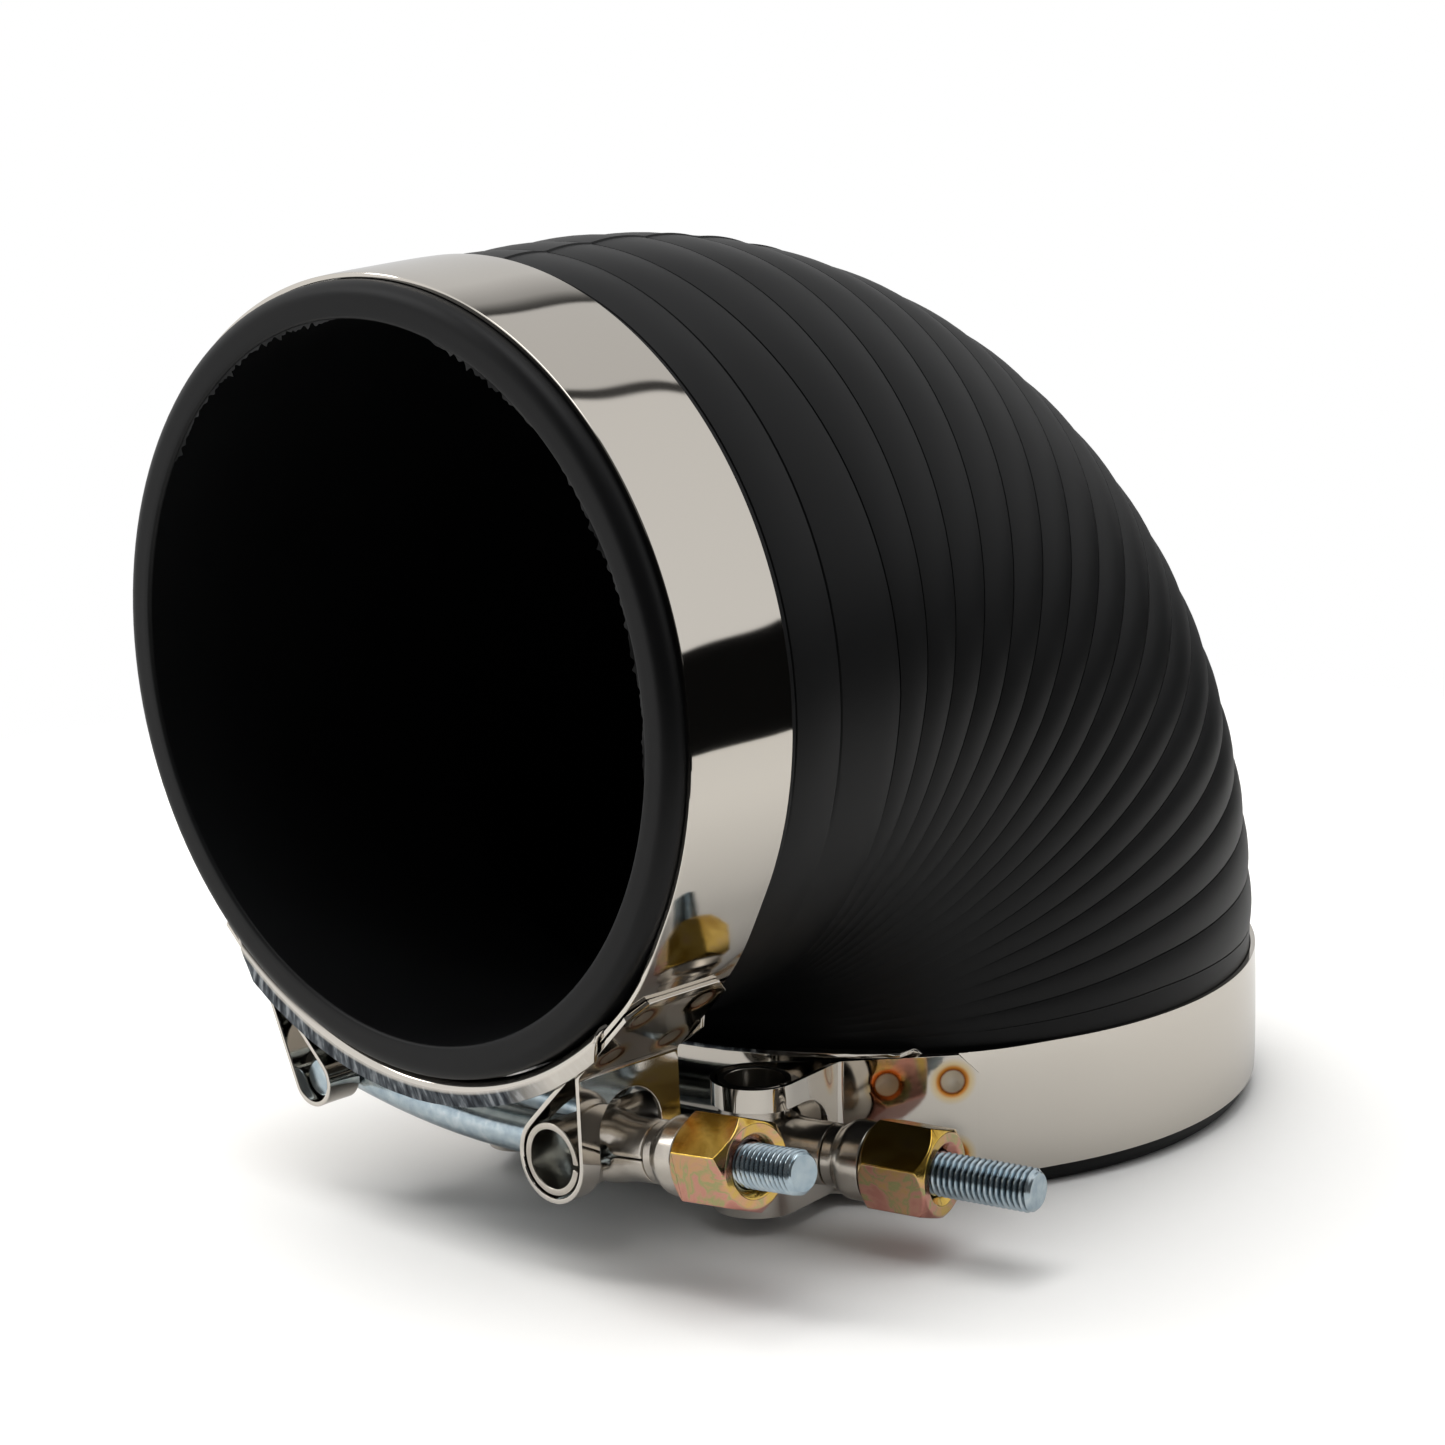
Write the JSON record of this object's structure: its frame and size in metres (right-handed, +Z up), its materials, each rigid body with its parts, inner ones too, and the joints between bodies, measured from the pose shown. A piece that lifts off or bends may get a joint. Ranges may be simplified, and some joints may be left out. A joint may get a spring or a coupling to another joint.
{
  "type": "intake coupler",
  "caption": "Ninety-degree rubber duct coupler with shallow scallops round its bend and a stainless T-bolt clamp on each open end.",
  "frame": {"origin": "middle of the underside of the whole part's box, on the surface that the lower end stands on", "axes": "+Z up, out of the lower end's axis and away from its face; -Y out of the mouth; +X towards the bolts' nuts"},
  "size_m": [0.1342, 0.1552, 0.1374],
  "materials": {
    "moulded_rubber": "satin",
    "polished_stainless": "polished",
    "rolled_stainless": "satin",
    "blue_zinc": "satin",
    "yellow_zinc": "satin"
  },
  "bodies": {
    "hose": {"elbow_hose": "moulded_rubber"},
    "front_clamp": {"front_clamp_band": "polished_stainless", "front_bridge_plate": "polished_stainless", "front_t_bolt": "blue_zinc", "front_trunnion": "rolled_stainless"},
    "front_ferrule_sleeve": {"front_ferrule": "rolled_stainless"},
    "front_nut": {"front_lock_nut": "yellow_zinc"},
    "lower_clamp": {"lower_clamp_band": "polished_stainless", "lower_bridge_plate": "polished_stainless", "lower_t_bolt": "blue_zinc", "lower_trunnion": "rolled_stainless"},
    "lower_ferrule_sleeve": {"lower_ferrule": "rolled_stainless"},
    "lower_nut": {"lower_lock_nut": "yellow_zinc"}
  },
  "joints": [
    {"name": "front_clamp_turn", "type": "hinge", "parent": "hose", "child": "front_clamp", "pos_m": [-0.01011, -0.0651, 0.0804], "axis": [0, -1, 0], "range_deg": [-20, 180]},
    {"name": "front_ferrule_slide", "type": "slide", "parent": "front_clamp", "child": "front_ferrule_sleeve", "axis": [0.9924, 0, 0.1227], "range_m": [0, 0.00634]},
    {"name": "front_nut_turn", "type": "hinge", "parent": "front_ferrule_sleeve", "child": "front_nut", "pos_m": [0.03746, -0.0651, 0.01992], "axis": [0.9924, 0, 0.1227], "range_deg": [0, 2520]},
    {"name": "lower_clamp_turn", "type": "hinge", "parent": "hose", "child": "lower_clamp", "pos_m": [-0.01011, 0.0206, 0.0125], "axis": [0, 0, 1], "range_deg": [-10, 180]},
    {"name": "lower_ferrule_slide", "type": "slide", "parent": "lower_clamp", "child": "lower_ferrule_sleeve", "axis": [0.9703, 0.2419, 0], "range_m": [0, 0.00634]},
    {"name": "lower_nut_turn", "type": "hinge", "parent": "lower_ferrule_sleeve", "child": "lower_nut", "pos_m": [0.04204, -0.03504, 0.0125], "axis": [0.9703, 0.2419, 0], "range_deg": [0, 2520]}
  ],
  "couplings": [
    {"joint": "front_nut_turn", "follows": "front_ferrule_slide", "rad_per_m": 6927.4},
    {"joint": "lower_nut_turn", "follows": "lower_ferrule_slide", "rad_per_m": 6927.4}
  ]
}
